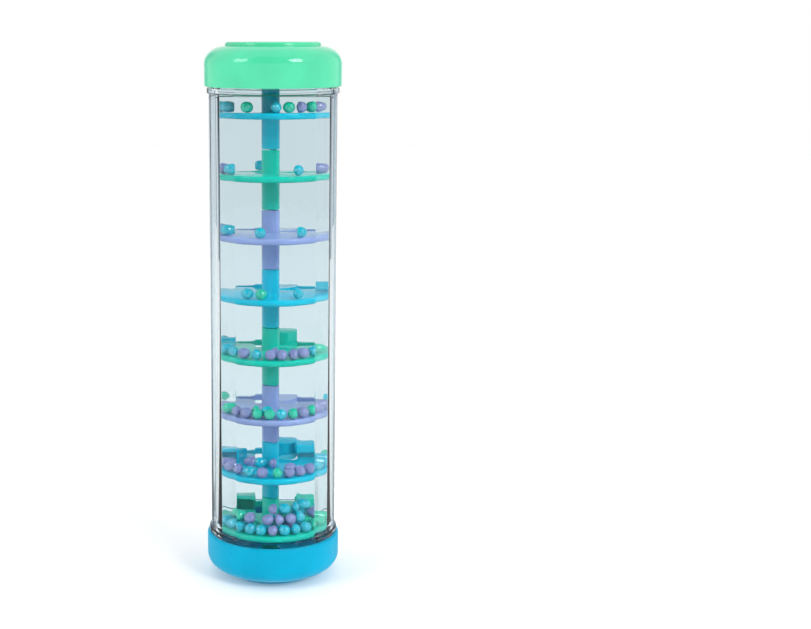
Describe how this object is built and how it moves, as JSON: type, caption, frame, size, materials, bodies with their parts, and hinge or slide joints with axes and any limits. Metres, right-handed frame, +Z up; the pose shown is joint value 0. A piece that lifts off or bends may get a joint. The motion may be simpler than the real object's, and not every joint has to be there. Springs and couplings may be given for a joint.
{
  "type": "rainstick",
  "caption": "Bead rainstick: a clear tube with rounded end caps, slotted discs on a central post and small loose beads that trickle down when it is turned over.",
  "frame": {"origin": "middle of the bottom cap's flat resting face", "axes": "+Z up along the tube, -Y towards the front, +X to the right"},
  "size_m": [0.0508, 0.0508, 0.203],
  "materials": {
    "cap_mint": "polished moulded plastic, mint green; the kind of plastic is a guess",
    "cap_cyan": "satin moulded plastic, cyan blue; the kind of plastic is a guess",
    "tube_clear": "clear moulded plastic with a faint grey-blue tint; the kind of plastic is a guess",
    "tier_blue": "moulded plastic, cyan blue; the kind of plastic is a guess",
    "tier_green": "moulded plastic, sea green; the kind of plastic is a guess",
    "tier_lilac": "moulded plastic, lilac; the kind of plastic is a guess",
    "bead_cyan": "polished bead, cyan",
    "bead_green": "polished bead, sea green",
    "bead_lilac": "polished bead, lilac"
  },
  "bodies": {
    "root": {"bottom_cap": "cap_cyan", "clear_tube": "tube_clear", "tier_disc_1": "tier_blue", "tier_disc_2": "tier_green", "tier_disc_3": "tier_lilac", "tier_disc_4": "tier_blue", "tier_disc_5": "tier_green", "tier_disc_6": "tier_lilac", "tier_disc_7": "tier_blue", "tier_disc_8": "tier_green", "top_cap": "cap_mint"},
    "beads_tier_1": {"bead_1_1": "bead_cyan", "bead_1_2": "bead_cyan", "bead_1_3": "bead_green", "bead_1_4": "bead_cyan", "bead_1_5": "bead_green", "bead_1_6": "bead_lilac"},
    "beads_tier_2": {"bead_2_1": "bead_lilac", "bead_2_2": "bead_cyan", "bead_2_3": "bead_cyan", "bead_2_4": "bead_lilac"},
    "beads_tier_3": {"bead_3_1": "bead_lilac", "bead_3_2": "bead_cyan", "bead_3_3": "bead_cyan", "bead_3_4": "bead_cyan"},
    "beads_tier_4": {"bead_4_1": "bead_cyan", "bead_4_2": "bead_green", "bead_4_3": "bead_cyan", "bead_4_4": "bead_cyan"},
    "beads_tier_5": {"bead_5_1": "bead_cyan", "bead_5_2": "bead_lilac", "bead_5_3": "bead_cyan", "bead_5_4": "bead_lilac", "bead_5_5": "bead_lilac", "bead_5_6": "bead_lilac", "bead_5_7": "bead_lilac"},
    "beads_tier_6": {"bead_6_1": "bead_lilac", "bead_6_2": "bead_lilac", "bead_6_3": "bead_green", "bead_6_4": "bead_green", "bead_6_5": "bead_cyan", "bead_6_6": "bead_green", "bead_6_7": "bead_lilac"},
    "beads_tier_7": {"bead_7_1": "bead_lilac", "bead_7_2": "bead_cyan", "bead_7_3": "bead_lilac", "bead_7_4": "bead_green", "bead_7_5": "bead_lilac", "bead_7_6": "bead_lilac", "bead_7_7": "bead_lilac"},
    "beads_tier_8": {"bead_8_1": "bead_cyan", "bead_8_2": "bead_cyan", "bead_8_3": "bead_cyan", "bead_8_4": "bead_lilac", "bead_8_5": "bead_cyan", "bead_8_6": "bead_cyan", "bead_8_7": "bead_cyan", "bead_8_8": "bead_green"}
  },
  "joints": [
    {"name": "tier_1_bead_drop", "type": "slide", "parent": "root", "child": "beads_tier_1", "axis": [0, 0, 1], "range_m": [0, 0.0149]},
    {"name": "tier_2_bead_drop", "type": "slide", "parent": "root", "child": "beads_tier_2", "axis": [0, 0, 1], "range_m": [0, 0.0161]},
    {"name": "tier_3_bead_drop", "type": "slide", "parent": "root", "child": "beads_tier_3", "axis": [0, 0, 1], "range_m": [0, 0.0161]},
    {"name": "tier_4_bead_drop", "type": "slide", "parent": "root", "child": "beads_tier_4", "axis": [0, 0, 1], "range_m": [0, 0.0161]},
    {"name": "tier_5_bead_drop", "type": "slide", "parent": "root", "child": "beads_tier_5", "axis": [0, 0, 1], "range_m": [0, 0.0161]},
    {"name": "tier_6_bead_drop", "type": "slide", "parent": "root", "child": "beads_tier_6", "axis": [0, 0, 1], "range_m": [0, 0.0161]},
    {"name": "tier_7_bead_drop", "type": "slide", "parent": "root", "child": "beads_tier_7", "axis": [0, 0, 1], "range_m": [0, 0.0126]},
    {"name": "tier_8_bead_drop", "type": "slide", "parent": "root", "child": "beads_tier_8", "axis": [0, 0, 1], "range_m": [0, 0.0092]}
  ]
}
